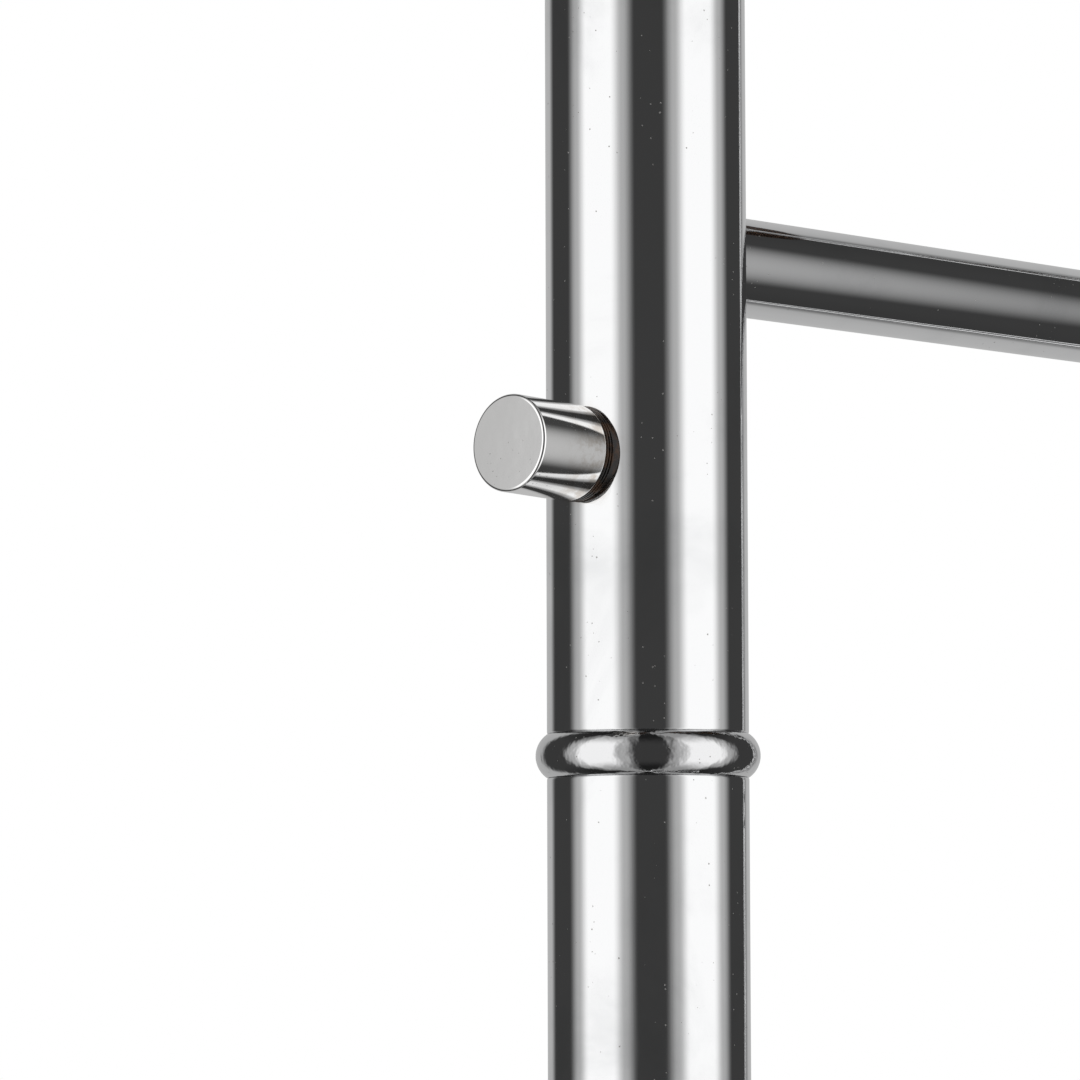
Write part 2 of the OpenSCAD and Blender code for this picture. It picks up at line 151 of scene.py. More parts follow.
def addTube(radius, wall, start, end, vertices):
    # a rod whose ends are inset by the wall and bridged through
    along = (Vector(end) - Vector(start)).normalized()
    tube = addRod(radius, start, end, vertices)
    bpy.ops.object.mode_set(mode="EDIT")
    selectParts(tube, faces=lambda f: abs(f.normal.dot(along)) > 0.9)
    bpy.ops.mesh.inset(thickness=wall)
    bpy.ops.mesh.bridge_edge_loops()
    bpy.ops.object.mode_set(mode="OBJECT")
    return tube


def turnPiece(section, steps, rounding=0.0, roundedAt=(), at=(0, 0, 0), along=zAxis, smoothSteps=4):
    # a section in (radius, height) is drawn as a loop, its corners are rounded, and it is spun round
    clearSelection()
    bpy.ops.mesh.primitive_circle_add(vertices=len(section), radius=0.01)
    piece = bpy.context.object
    for point, (radius, height) in zip(piece.data.vertices, section):
        point.co = (radius, 0, height)
    bpy.ops.object.mode_set(mode="EDIT")
    if roundedAt:
        corners = [Vector((section[i][0], 0, section[i][1])) for i in roundedAt]
        selectParts(piece, points=lambda p: any((p.co - c).length < 1e-7 for c in corners))
        bpy.ops.mesh.bevel(offset=rounding, segments=smoothSteps, affect="VERTICES")
    bpy.ops.mesh.select_all(action="SELECT")
    bpy.ops.mesh.spin(steps=steps, angle=2 * math.pi, center=(0, 0, 0), axis=(0, 0, 1))
    bpy.ops.mesh.select_all(action="SELECT")
    bpy.ops.mesh.remove_doubles(threshold=0.000002)
    bpy.ops.mesh.delete_loose()
    bpy.ops.mesh.select_all(action="SELECT")
    bpy.ops.mesh.normals_make_consistent(inside=False)
    bpy.ops.object.mode_set(mode="OBJECT")
    piece.rotation_euler = Vector(along).to_track_quat("Z", "Y").to_euler()
    piece.location = at
    applyPlace(piece)
    return piece


def newGroup(name, inputs, outputs):
    group = bpy.data.node_groups.new(name, "ShaderNodeTree")
    for label, kind, value in inputs:
        socket = group.interface.new_socket(name=label, in_out="INPUT", socket_type="NodeSocket" + kind)
        if value is not None:
            socket.default_value = value
    for label, kind in outputs:
        group.interface.new_socket(name=label, in_out="OUTPUT", socket_type="NodeSocket" + kind)
    return group, group.nodes.new("NodeGroupInput"), group.nodes.new("NodeGroupOutput")


def addNode(tree, kind, settings=None, **links):
    # settings are node properties; links go to the inputs of that name, with _ for a space
    node = tree.nodes.new("ShaderNode" + kind)
    for key, value in (settings or {}).items():
        setattr(node, key, value)
    for key, value in links.items():
        label = key.replace("_", " ")
        socket = node.inputs[int(label[1:])] if label[1:].isdigit() else node.inputs[label]
        if isinstance(value, bpy.types.NodeSocket):
            tree.links.new(value, socket)
        else:
            socket.default_value = value
    return node


def drawLineGroup():
    # fine lines left along a tube by drawing and polishing, with a slow ripple under them
    group, source, result = newGroup("drawLines", [("Vector", "Vector", None), ("Line Scale", "Float", 900.0),
                                                   ("Ripple Scale", "Float", 60.0)],
                                     [("Lines", "Float"), ("Ripple", "Float")])
    fine = addNode(group, "TexNoise", Vector=source.outputs["Vector"], Scale=source.outputs["Line Scale"],
                   Detail=3.0, Roughness=0.6)
    slow = addNode(group, "TexNoise", Vector=source.outputs["Vector"], Scale=source.outputs["Ripple Scale"],
                   Detail=2.0, Roughness=0.45)
    group.links.new(fine.outputs["Fac"], result.inputs["Lines"])
    group.links.new(slow.outputs["Fac"], result.inputs["Ripple"])
    return group


def handlingGroup():
    # smudges, and the small pits and dust that catch light on a polished surface
    group, source, result = newGroup("handlingMarks", [("Vector", "Vector", None), ("Smudge Scale", "Float", 28.0),
                                                       ("Pit Scale", "Float", 900.0), ("Pit Size", "Float", 0.14)],
                                     [("Smudge", "Float"), ("Pits", "Float")])
    cloud = addNode(group, "TexNoise", Vector=source.outputs["Vector"], Scale=source.outputs["Smudge Scale"],
                    Detail=5.0, Roughness=0.62, Distortion=0.6)
    smudge = addNode(group, "MapRange", {"interpolation_type": "SMOOTHSTEP"}, Value=cloud.outputs["Fac"],
                     From_Min=0.52, From_Max=0.74)
    cells = addNode(group, "TexVoronoi", {"feature": "F1"}, Vector=source.outputs["Vector"],
                    Scale=source.outputs["Pit Scale"], Randomness=1.0)
    chance = addNode(group, "SeparateColor", Color=cells.outputs["Color"])
    crowd = addNode(group, "TexNoise", Vector=source.outputs["Vector"], Scale=55.0, Detail=2.0)
    limit = addNode(group, "MapRange", {}, Value=crowd.outputs["Fac"], From_Min=0.42, From_Max=0.66, To_Min=0.96,
                    To_Max=0.3)
    rare = addNode(group, "Math", {"operation": "GREATER_THAN"}, i0=chance.outputs["Red"], i1=limit.outputs[0])
    size = addNode(group, "Math", {"operation": "MULTIPLY"}, i0=source.outputs["Pit Size"],
                   i1=chance.outputs["Green"])
    near = addNode(group, "Math", {"operation": "LESS_THAN"}, i0=cells.outputs["Distance"], i1=size.outputs[0])
    pits = addNode(group, "Math", {"operation": "MULTIPLY"}, i0=rare.outputs[0], i1=near.outputs[0])
    group.links.new(smudge.outputs["Result"], result.inputs["Smudge"])
    group.links.new(pits.outputs[0], result.inputs["Pits"])
    return group


def nearPointGroup():
    # 1 at a point on the piece, fading to 0 at a distance, broken up by noise
    group, source, result = newGroup("nearPoint", [("Vector", "Vector", None), ("Point", "Vector", None),
                                                   ("Reach", "Float", 0.01), ("Breakup Scale", "Float", 400.0)],
                                     [("Mask", "Float")])
    gap = addNode(group, "VectorMath", {"operation": "DISTANCE"}, i0=source.outputs["Vector"],
                  i1=source.outputs["Point"])
    fade = addNode(group, "MapRange", {"interpolation_type": "SMOOTHSTEP"}, Value=gap.outputs["Value"],
                   From_Min=source.outputs["Reach"], From_Max=0.0)
    grit = addNode(group, "TexNoise", Vector=source.outputs["Vector"], Scale=source.outputs["Breakup Scale"],
                   Detail=4.0, Roughness=0.7)
    patchy = addNode(group, "MapRange", {"interpolation_type": "SMOOTHSTEP"}, Value=grit.outputs["Fac"],
                     From_Min=0.4, From_Max=0.62)
    both = addNode(group, "Math", {"operation": "MULTIPLY"}, i0=fade.outputs["Result"],
                   i1=patchy.outputs["Result"])
    group.links.new(both.outputs[0], result.inputs["Mask"])
    return group


def grainGroup():
    # long grain for wood, or a pebbled grain for leather and moulded rubber
    group, source, result = newGroup("surfaceGrain", [("Vector", "Vector", None), ("Fibre Scale", "Float", 90.0),
                                                      ("Pebble Scale", "Float", 700.0)],
                                     [("Fibre", "Float"), ("Pebble", "Float")])
    fibre = addNode(group, "TexNoise", Vector=source.outputs["Vector"], Scale=source.outputs["Fibre Scale"],
                    Detail=6.0, Roughness=0.62, Distortion=0.35)
    pebble = addNode(group, "TexVoronoi", {"feature": "SMOOTH_F1"}, Vector=source.outputs["Vector"],
                     Scale=source.outputs["Pebble Scale"], Smoothness=0.35)
    group.links.new(fibre.outputs["Fac"], result.inputs["Fibre"])
    group.links.new(pebble.outputs["Distance"], result.inputs["Pebble"])
    return group


groups = {"drawLines": drawLineGroup(), "handlingMarks": handlingGroup(), "nearPoint": nearPointGroup(),
          "surfaceGrain": grainGroup()}


def newMaterial(name):
    material = bpy.data.materials.new(name)
    material.use_nodes = True
    tree = material.node_tree
    shader = tree.nodes["Principled BSDF"]
    spot = tree.nodes.new("ShaderNodeTexCoord").outputs["Object"]
    return material, tree, shader, spot


def useGroup(tree, name, **links):
    node = tree.nodes.new("ShaderNodeGroup")
    node.node_tree = groups[name]
    for key, value in links.items():
        socket = node.inputs[key.replace("_", " ")]
        if isinstance(value, bpy.types.NodeSocket):
            tree.links.new(value, socket)
        else:
            socket.default_value = value
    return node


def mixColour(tree, mask, first, second):
    node = addNode(tree, "Mix", {"data_type": "RGBA"}, Factor=mask)
    for index, colour in ((6, first), (7, second)):
        if isinstance(colour, bpy.types.NodeSocket):
            tree.links.new(colour, node.inputs[index])
        else:
            node.inputs[index].default_value = (*colour, 1)
    return node.outputs[2]


def mixNumber(tree, mask, first, second):
    node = addNode(tree, "MapRange", {}, Value=mask, To_Min=first, To_Max=second)
    return node.outputs["Result"]


chromeLook = {
    "colour": (0.80, 0.802, 0.806), "smudged": (0.70, 0.705, 0.71), "pitted": (0.52, 0.51, 0.50),
    "tarnish": (0.34, 0.23, 0.12), "tarnishAt": (),  # painted brown shade with small smudges, fading out from given places; the places and how far each reaches
    "rippleScale": 60.0, "pitScale": 900.0, "pitSize": 0.14,
    "polished": 0.022, "dulled": 0.1, "pitRoughness": 0.5,
    "lineHeight": 0.000003, "rippleHeight": 0.00003, "peelHeight": 0.0000009, "peelScale": 2600.0,
}


def chromeMaterial(name, stretch, **changes):
    look = {**chromeLook, **changes}
    material, tree, shader, spot = newMaterial(name)
    along = addNode(tree, "Mapping", Vector=spot, Scale=stretch).outputs["Vector"]
    lines = useGroup(tree, "drawLines", Vector=along, Ripple_Scale=look["rippleScale"])
    marks = useGroup(tree, "handlingMarks", Vector=spot, Pit_Scale=look["pitScale"], Pit_Size=look["pitSize"])
    peel = useGroup(tree, "surfaceGrain", Vector=spot, Fibre_Scale=look["peelScale"])
    colour = mixColour(tree, marks.outputs["Smudge"], look["colour"], look["smudged"])
    colour = mixColour(tree, marks.outputs["Pits"], colour, look["pitted"])
    # paints brown shade, with small smudges, fading out from each given place (the peg roots), broken up by noise
    for point, reach in look["tarnishAt"]:
        near = useGroup(tree, "nearPoint", Vector=spot, Point=point, Reach=reach)
        colour = mixColour(tree, near.outputs["Mask"], colour, look["tarnish"])
    tree.links.new(colour, shader.inputs["Base Color"])
    streaky = addNode(tree, "Math", {"operation": "MULTIPLY"}, i0=lines.outputs["Lines"], i1=0.03)
    rough = mixNumber(tree, marks.outputs["Smudge"], look["polished"], look["dulled"])
    rough = addNode(tree, "Math", {"operation": "ADD"}, i0=rough, i1=streaky.outputs[0]).outputs[0]
    rough = addNode(tree, "Mix", {"data_type": "FLOAT"}, i0=marks.outputs["Pits"], i2=rough,
                    i3=look["pitRoughness"]).outputs[0]
    tree.links.new(rough, shader.inputs["Roughness"])
    slow = addNode(tree, "Bump", Height=lines.outputs["Ripple"], Strength=1.0,
                   Distance=look["rippleHeight"])
    fine = addNode(tree, "Bump", Height=lines.outputs["Lines"], Strength=1.0, Distance=look["lineHeight"],
                   Normal=slow.outputs["Normal"])
    peeled = addNode(tree, "Bump", Height=peel.outputs["Fibre"], Strength=1.0, Distance=look["peelHeight"],
                     Normal=fine.outputs["Normal"])
    tree.links.new(peeled.outputs["Normal"], shader.inputs["Normal"])
    shader.inputs["Metallic"].default_value = 1.0
    return material


darkWasherLook = {"dark": (0.010, 0.008, 0.007), "brown": (0.055, 0.028, 0.014), "grain": 0.00008}


def darkWasherMaterial():
    look = darkWasherLook
    material, tree, shader, spot = newMaterial("darkWasher")
    patch = addNode(tree, "TexNoise", Vector=spot, Scale=420.0, Detail=5.0, Roughness=0.7)
    mask = addNode(tree, "MapRange", {"interpolation_type": "SMOOTHSTEP"}, Value=patch.outputs["Fac"],
                   From_Min=0.42, From_Max=0.64)
    tree.links.new(mixColour(tree, mask.outputs["Result"], look["dark"], look["brown"]), shader.inputs["Base Color"])
    tree.links.new(mixNumber(tree, patch.outputs["Fac"], 0.12, 0.5), shader.inputs["Roughness"])
    bump = addNode(tree, "Bump", Height=patch.outputs["Fac"], Distance=look["grain"])
    tree.links.new(bump.outputs["Normal"], shader.inputs["Normal"])
    shader.inputs["Metallic"].default_value = 0.35
    return material


zincLook = {"bright": (0.62, 0.62, 0.60), "dull": (0.42, 0.41, 0.38), "grain": 0.00003}


def zincMaterial():
    look = zincLook
    material, tree, shader, spot = newMaterial("zincPlate")
    marks = useGroup(tree, "handlingMarks", Vector=spot, Smudge_Scale=120.0, Pit_Scale=900.0, Pit_Size=0.1)
    grain = useGroup(tree, "surfaceGrain", Vector=spot, Fibre_Scale=900.0)
    tree.links.new(mixColour(tree, marks.outputs["Smudge"], look["bright"], look["dull"]),
                   shader.inputs["Base Color"])
    tree.links.new(mixNumber(tree, grain.outputs["Fibre"], 0.2, 0.5), shader.inputs["Roughness"])
    bump = addNode(tree, "Bump", Height=grain.outputs["Fibre"], Distance=look["grain"])
    tree.links.new(bump.outputs["Normal"], shader.inputs["Normal"])
    shader.inputs["Metallic"].default_value = 1.0
    return material


rubberLook = {"clean": (0.018, 0.018, 0.019), "dusty": (0.075, 0.072, 0.068), "grain": 0.00012}


def rubberMaterial():
    look = rubberLook
    material, tree, shader, spot = newMaterial("mouldedRubber")
    marks = useGroup(tree, "handlingMarks", Vector=spot, Smudge_Scale=90.0, Pit_Scale=700.0)
    grain = useGroup(tree, "surfaceGrain", Vector=spot, Pebble_Scale=1600.0)
    tree.links.new(mixColour(tree, marks.outputs["Smudge"], look["clean"], look["dusty"]),
                   shader.inputs["Base Color"])
    tree.links.new(mixNumber(tree, marks.outputs["Smudge"], 0.55, 0.8), shader.inputs["Roughness"])
    bump = addNode(tree, "Bump", Height=grain.outputs["Pebble"], Distance=look["grain"])
    tree.links.new(bump.outputs["Normal"], shader.inputs["Normal"])
    return material


woodLook = {"dark": (0.010, 0.006, 0.0045), "light": (0.055, 0.028, 0.015), "grain": 0.00005}


def woodMaterial():
    look = woodLook
    material, tree, shader, spot = newMaterial("lacqueredWood")
    along = addNode(tree, "Mapping", Vector=spot, Scale=(0.06, 1, 1)).outputs["Vector"]
    grain = useGroup(tree, "surfaceGrain", Vector=along, Fibre_Scale=160.0)
    marks = useGroup(tree, "handlingMarks", Vector=spot, Smudge_Scale=18.0)
    fibre = addNode(tree, "MapRange", {"interpolation_type": "SMOOTHSTEP"}, Value=grain.outputs["Fibre"],
                    From_Min=0.35, From_Max=0.68)
    tree.links.new(mixColour(tree, fibre.outputs["Result"], look["dark"], look["light"]),
                   shader.inputs["Base Color"])
    tree.links.new(mixNumber(tree, marks.outputs["Smudge"], 0.22, 0.4), shader.inputs["Roughness"])
    bump = addNode(tree, "Bump", Height=grain.outputs["Fibre"], Distance=look["grain"])
    tree.links.new(bump.outputs["Normal"], shader.inputs["Normal"])
    shader.inputs["Coat Weight"].default_value = 0.6
    shader.inputs["Coat Roughness"].default_value = 0.12
    return material


leatherLook = {"dark": (0.020, 0.011, 0.007), "worn": (0.075, 0.042, 0.026), "grain": 0.0003}


def leatherMaterial():
    look = leatherLook
    material, tree, shader, spot = newMaterial("linerLeather")
    grain = useGroup(tree, "surfaceGrain", Vector=spot, Pebble_Scale=620.0, Fibre_Scale=40.0)
    marks = useGroup(tree, "handlingMarks", Vector=spot, Smudge_Scale=30.0)
    tone = mixColour(tree, grain.outputs["Fibre"], look["dark"], look["worn"])
    tree.links.new(mixColour(tree, marks.outputs["Smudge"], tone, look["worn"]), shader.inputs["Base Color"])
    tree.links.new(mixNumber(tree, grain.outputs["Pebble"], 0.42, 0.7), shader.inputs["Roughness"])
    bump = addNode(tree, "Bump", Height=grain.outputs["Pebble"], Distance=look["grain"])
    tree.links.new(bump.outputs["Normal"], shader.inputs["Normal"])
    return material


def threadMaterial():
    material, tree, shader, spot = newMaterial("waxedThread")
    grain = useGroup(tree, "surfaceGrain", Vector=spot, Fibre_Scale=2500.0)
    tree.links.new(mixColour(tree, grain.outputs["Fibre"], (0.12, 0.07, 0.035), (0.32, 0.21, 0.12)),
                   shader.inputs["Base Color"])
    tree.links.new(mixNumber(tree, grain.outputs["Fibre"], 0.45, 0.75), shader.inputs["Roughness"])
    return material


pegRoots = {side: middle("peg_washer_" + side) for side in sides}
pegStains = [Vector((-4.5 * mm, -1 * mm, 7.6 * mm)), Vector((4.5 * mm, -1 * mm, 7.6 * mm))]
looks = {
    # the post is painted brown round each peg washer: painted shade where the peg meets the post
    "post": chromeMaterial("chromePost", (1, 1, 0.02), tarnishAt=[(root, 9.5 * mm) for root in pegRoots.values()]),
    "bar": chromeMaterial("chromeBar", (0.02, 1, 1)),
    "rail": chromeMaterial("chromeRail", (1, 0.02, 1)),
    "turned": chromeMaterial("chromeTurned", (0.05, 1, 1)),
    # the peg's chrome is given a brighter colour than the posts': painted brightness, standing in for its face
    # catching the light
    "peg": chromeMaterial("chromePeg", (0.04, 1, 1), colour=(0.955, 0.95, 0.942), smudged=(0.72, 0.70, 0.67),
                          # the peg is painted brown near its root as painted shade where it meets the post, with
                          # small brown smudges on its top at pegStains
                          tarnishAt=[(root, 15 * mm) for root in pegRoots.values()]
                          + [(root + stain, 3.5 * mm) for root in pegRoots.values() for stain in pegStains],
                          rippleHeight=0.000035, rippleScale=170.0, pitScale=1300.0, pitSize=0.16,
                          polished=0.05, dulled=0.16),
    # the ring's chrome is given a darker colour than the posts': painted shade
    "ring": chromeMaterial("chromeRing", (1, 1, 1), colour=(0.72, 0.72, 0.725), rippleHeight=0.00008,
                           rippleScale=520.0, pitScale=1300.0, pitSize=0.2, polished=0.05, dulled=0.17),
    "washer": darkWasherMaterial(), "zinc": zincMaterial(), "rubber": rubberMaterial(),
    "wood": woodMaterial(), "leather": leatherMaterial(), "thread": threadMaterial(),
}
print("materials made:", len(looks))


tubing = {"vertices": 256, "postWall": 1.5 * mm, "barWall": 1.2 * mm, "railWall": 1.5 * mm,
          "endRounding": 0.3 * mm, "endRing": 0.7 * mm, "copeRing": 3 * mm, "pegHole": 4.4 * mm}


def roundTubeEnd(tube, place, along, radius):
    # softens the outer edge of an open end
    pickUp(tube)
    bpy.ops.object.mode_set(mode="EDIT")

    def onEdge(edge):
        offsets = [point.co - place for point in edge.verts]
        return all(abs(o.dot(along)) < 1e-5 and abs((o - along * o.dot(along)).length - radius) < 1e-5
                   for o in offsets)
    selectParts(tube, edges=onEdge)
    bpy.ops.mesh.bevel(offset=tubing["endRounding"], segments=3, affect="EDGES")
    bpy.ops.object.mode_set(mode="OBJECT")


def pegFrame(side):
    # where the peg's axis meets the post's axis, and the way it points
    way = rakeDirections[side]
    root = next(Vector(j["pos_m"]) for j in frame["joints"] if j["name"] == side + "_peg_turn")
    return root, way


def makeUpperPost(side):
    node = "upper_post_" + side
    centre, size = middle(node), spanOf(node)
    foot, top = centre - zAxis * size.z / 2, centre + zAxis * size.z / 2
    post = addTube(size.x / 2, tubing["postWall"], foot, top, tubing["vertices"])
    roundTubeEnd(post, foot, zAxis, size.x / 2)
    root, way = pegFrame(side)
    sliceAt(post, [zAxis * (foot.z + tubing["endRing"]), zAxis * (root.z - 7 * mm), zAxis * (root.z + 7 * mm)], zAxis)
    cutAway(post, addRod(tubing["pegHole"], root, root + way * size.x, 64))
    return finishPiece(post, "visual_upper_post_" + side, "stand", looks["post"], [node], flatFaces=False)


def makeLowerPost(side):
    node = "lower_post_" + side
    centre, size = middle(node), spanOf(node)
    foot, top = centre - zAxis * size.z / 2, centre + zAxis * size.z / 2
    post = addTube(size.x / 2, tubing["postWall"], foot, top, tubing["vertices"])
    roundTubeEnd(post, top, zAxis, size.x / 2)
    rail, railSize = middle("foot_rail_" + side), spanOf("foot_rail_" + side)
    sliceAt(post, [rail + zAxis * (railSize.z / 2 + tubing["copeRing"]), top - zAxis * tubing["endRing"]], zAxis)
    cutAway(post, addRod(railSize.x / 2, rail - yAxis * size.x, rail + yAxis * size.x, tubing["vertices"]))
    return finishPiece(post, "visual_lower_post_" + side, "stand", looks["post"], [node], flatFaces=False)


def makeCrossBar(node, fitTo):
    # a tube along X, coped to the round pieces at its two ends
    centre, size = middle(node), spanOf(node)
    start, end = centre - xAxis * size.x / 2, centre + xAxis * size.x / 2
    bar = addTube(size.z / 2, tubing["barWall"], start, end, tubing["vertices"])
    for side in sides:
        other = fitTo + side
        place, otherSize = middle(other), spanOf(other)
        tall = otherSize.z > otherSize.y
        radius, way = otherSize.x / 2, (zAxis if tall else yAxis)
        inward = -1 if place.x > 0 else 1
        sliceAt(bar, [Vector((place.x + inward * (radius + tubing["copeRing"]), 0, 0))], xAxis)
        seat = Vector((place.x, centre.y if not tall else 0, centre.z))
        cutAway(bar, addRod(radius, seat - way * size.z, seat + way * size.z, tubing["vertices"]))
    return finishPiece(bar, "visual_" + node, "stand", looks["bar"], [node], flatFaces=False)


def makeFootRail(side):
    node = "foot_rail_" + side
    centre, size = middle(node), spanOf(node)
    rail = addTube(size.x / 2, tubing["railWall"], centre - yAxis * size.y / 2, centre + yAxis * size.y / 2,
                   tubing["vertices"])
    for end in ends:
        screw = middle(f"glide_screw_{end}_{side}")
        sliceAt(rail, [screw + yAxis * lift for lift in (-8 * mm, 8 * mm)], yAxis)
        cutAway(rail, addRod(6.05 * mm, (screw.x, screw.y, 0), (screw.x, screw.y, centre.z), 64))
    sliceAt(rail, [yAxis * lift for lift in (-6 * mm, 6 * mm)], yAxis)
    cutAway(rail, addRod(4.4 * mm, (centre.x, 0, 0), (centre.x, 0, centre.z), 64))
    return finishPiece(rail, "visual_" + node, "stand", looks["rail"], [node], flatFaces=False)


rakeDirections = {}
for joint in frame["joints"]:
    if joint["name"].endswith("_peg_turn"):
        rakeDirections[joint["name"].split("_")[0]] = Vector(joint["axis"]).normalized()

for side in sides:
    makeUpperPost(side)
    makeLowerPost(side)
    makeFootRail(side)
for bar in ("trouser_bar", "tray_bar"):
    makeCrossBar(bar, "upper_post_")
for rail in ("shoe_rail_front", "shoe_rail_middle", "shoe_rail_rear"):
    makeCrossBar(rail, "foot_rail_")
print("posts, bars and rails made")


ringCut = {"steps": 256, "arcPoints": 28}


def makeJointRing(side):
    node = "joint_ring_" + side
    centre, size = middle(node), spanOf(node)
    postRadius = spanOf("upper_post_" + side).x / 2
    bore = postRadius - tubing["postWall"]
    halfHeight, bulge = size.z / 2, size.x / 2 - postRadius
    arcRadius = (halfHeight ** 2 + bulge ** 2) / (2 * bulge)
    reach = math.asin(halfHeight / arcRadius)
    section = [(bore, -halfHeight)]
    for i in range(ringCut["arcPoints"] + 1):
        angle = reach * (2 * i / ringCut["arcPoints"] - 1)
        section.append((size.x / 2 - arcRadius * (1 - math.cos(angle)), arcRadius * math.sin(angle)))
    section.append((bore, halfHeight))
    ring = turnPiece(section, ringCut["steps"], at=centre)
    return finishPiece(ring, "visual_joint_ring_" + side, "stand", looks["ring"], [node], flatFaces=False)


pegCut = {"steps": 192, "rimRounding": 0.5 * mm, "studHole": 4.05 * mm, "studDepth": 10 * mm}
washerCut = {"steps": 160, "ridges": 3, "groove": 0.38 * mm, "bore": 4.1 * mm, "gap": 0.1 * mm}


def alongRange(node, root, way):
    # how far a node reaches along the peg's axis, from its own points
    reach = [(point.co - root).dot(way) for point in frame["nodes"][node].data.vertices]
    return min(reach), max(reach)


def makePeg(side):
    root, way = pegFrame(side)
    back, front = alongRange("peg_" + side, root, way)
    radius = spanOf("peg_" + side).y / 2
    length, hole, depth = front - back, pegCut["studHole"], pegCut["studDepth"]
    section = [(hole, 0), (radius, 0), (radius, length), (0, length), (0, depth), (hole, depth)]
    peg = turnPiece(section, pegCut["steps"], pegCut["rimRounding"], (1, 2), root + way * back, way, 5)
    return finishPiece(peg, "visual_peg_" + side, side + "_peg", looks["peg"], ["peg_" + side], 50)


def makePegWasher(side):
    root, way = pegFrame(side)
    node = "peg_washer_" + side
    inner, front = alongRange(node, root, way)
    radius, cut = spanOf(node).y / 2, washerCut
    thick = front - inner
    crown = (front - spanOf("upper_post_" + side).x / 2) / cut["ridges"]
    section = [(cut["bore"], 0), (radius - cut["groove"], 0)]
    for i in range(cut["ridges"]):
        low = thick - crown * (cut["ridges"] - i)
        section += [(radius - cut["groove"], low + crown * 0.08), (radius, low + crown * 0.35),
                    (radius, low + crown * 0.7), (radius - cut["groove"], low + crown * 0.95)]
    section[-1] = (radius - cut["groove"] * 0.5, thick)
    section.append((cut["bore"], thick))
    washer = turnPiece(section, cut["steps"], at=root + way * inner, along=way)
    post = middle("upper_post_" + side)
    postRadius = spanOf("upper_post_" + side).x / 2 + cut["gap"]
    low, high = Vector((post.x, 0, root.z - 0.02)), Vector((post.x, 0, root.z + 0.02))
    cutAway(washer, addRod(postRadius, low, high, tubing["vertices"]))
    return finishPiece(washer, "visual_peg_washer_" + side, side + "_peg_washer",
                       looks["washer"], [node], 45)


plugCut = {"steps": 160, "cap": 4 * mm, "shankGap": 0.05 * mm, "rounding": 1.2 * mm, "dish": 0.6 * mm}


def makeFootPlug(side, end):
    node = f"foot_plug_{end}_{side}"
    low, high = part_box(node)
    outward = -1 if end == "front" else 1
    radius = (high[0] - low[0]) / 2
    faceY = low[1] if outward < 0 else high[1]
    capY = faceY - outward * plugCut["cap"]
    shank = abs((high[1] if outward < 0 else low[1]) - capY)
    shankRadius = radius - tubing["railWall"] - plugCut["shankGap"]
    dish = radius * 0.72
    section = [(0, -shank), (shankRadius, -shank), (shankRadius, 0), (radius, 0), (radius, plugCut["cap"]),
               (dish, plugCut["cap"]), (dish - 0.001, plugCut["cap"] - plugCut["dish"]),
               (0, plugCut["cap"] - plugCut["dish"])]
    centre = middle(node)
    plug = turnPiece(section, plugCut["steps"], plugCut["rounding"], (4,), (centre.x, capY, centre.z),
                     yAxis * outward, 5)
    return finishPiece(plug, "visual_" + node, "stand", looks["rail"], [node])


glideCut = {"steps": 96, "lip": 1.2 * mm, "flat": 4 * mm, "socket": 3.6 * mm, "socketDepth": 6.5 * mm,
            "grooves": 3, "groove": 0.35 * mm, "pitch": 1.25 * mm, "threadDepth": 0.55 * mm, "hexHeight": 5 * mm,
            "hexAcross": 13 * mm, "pivot": 3.5 * mm, "hexRounding": 0.4 * mm}


def makeGlidePad(side, end):
    node = f"glide_pad_{end}_{side}"
    centre, size = middle(node), spanOf(node)
    radius, height, cut = size.x / 2, size.z, glideCut
    neck = cut["hexAcross"] * 0.72
    section = [(0, 0), (radius * 0.55, 0), (radius * 0.6, 0.5 * mm), (radius * 0.72, 0.5 * mm),
               (radius * 0.77, 0), (radius - cut["lip"], 0), (radius, cut["lip"])]
    band = (cut["flat"] - cut["lip"]) / cut["grooves"]
    for i in range(cut["grooves"]):  # grip grooves round the rim
        base = cut["lip"] + band * i
        section += [(radius, base + band * 0.35), (radius - cut["groove"], base + band * 0.5),
                    (radius - cut["groove"], base + band * 0.7), (radius, base + band * 0.85)]
    section += [(radius, cut["flat"]), (neck, height), (cut["socket"], height),
                (cut["socket"], height - cut["socketDepth"]), (0, height - cut["socketDepth"])]
    pad = turnPiece(section, cut["steps"], at=(centre.x, centre.y, centre.z - height / 2))
    return finishPiece(pad, "visual_" + node, f"{end}_{side}_pad", looks["rubber"], [node], 25)


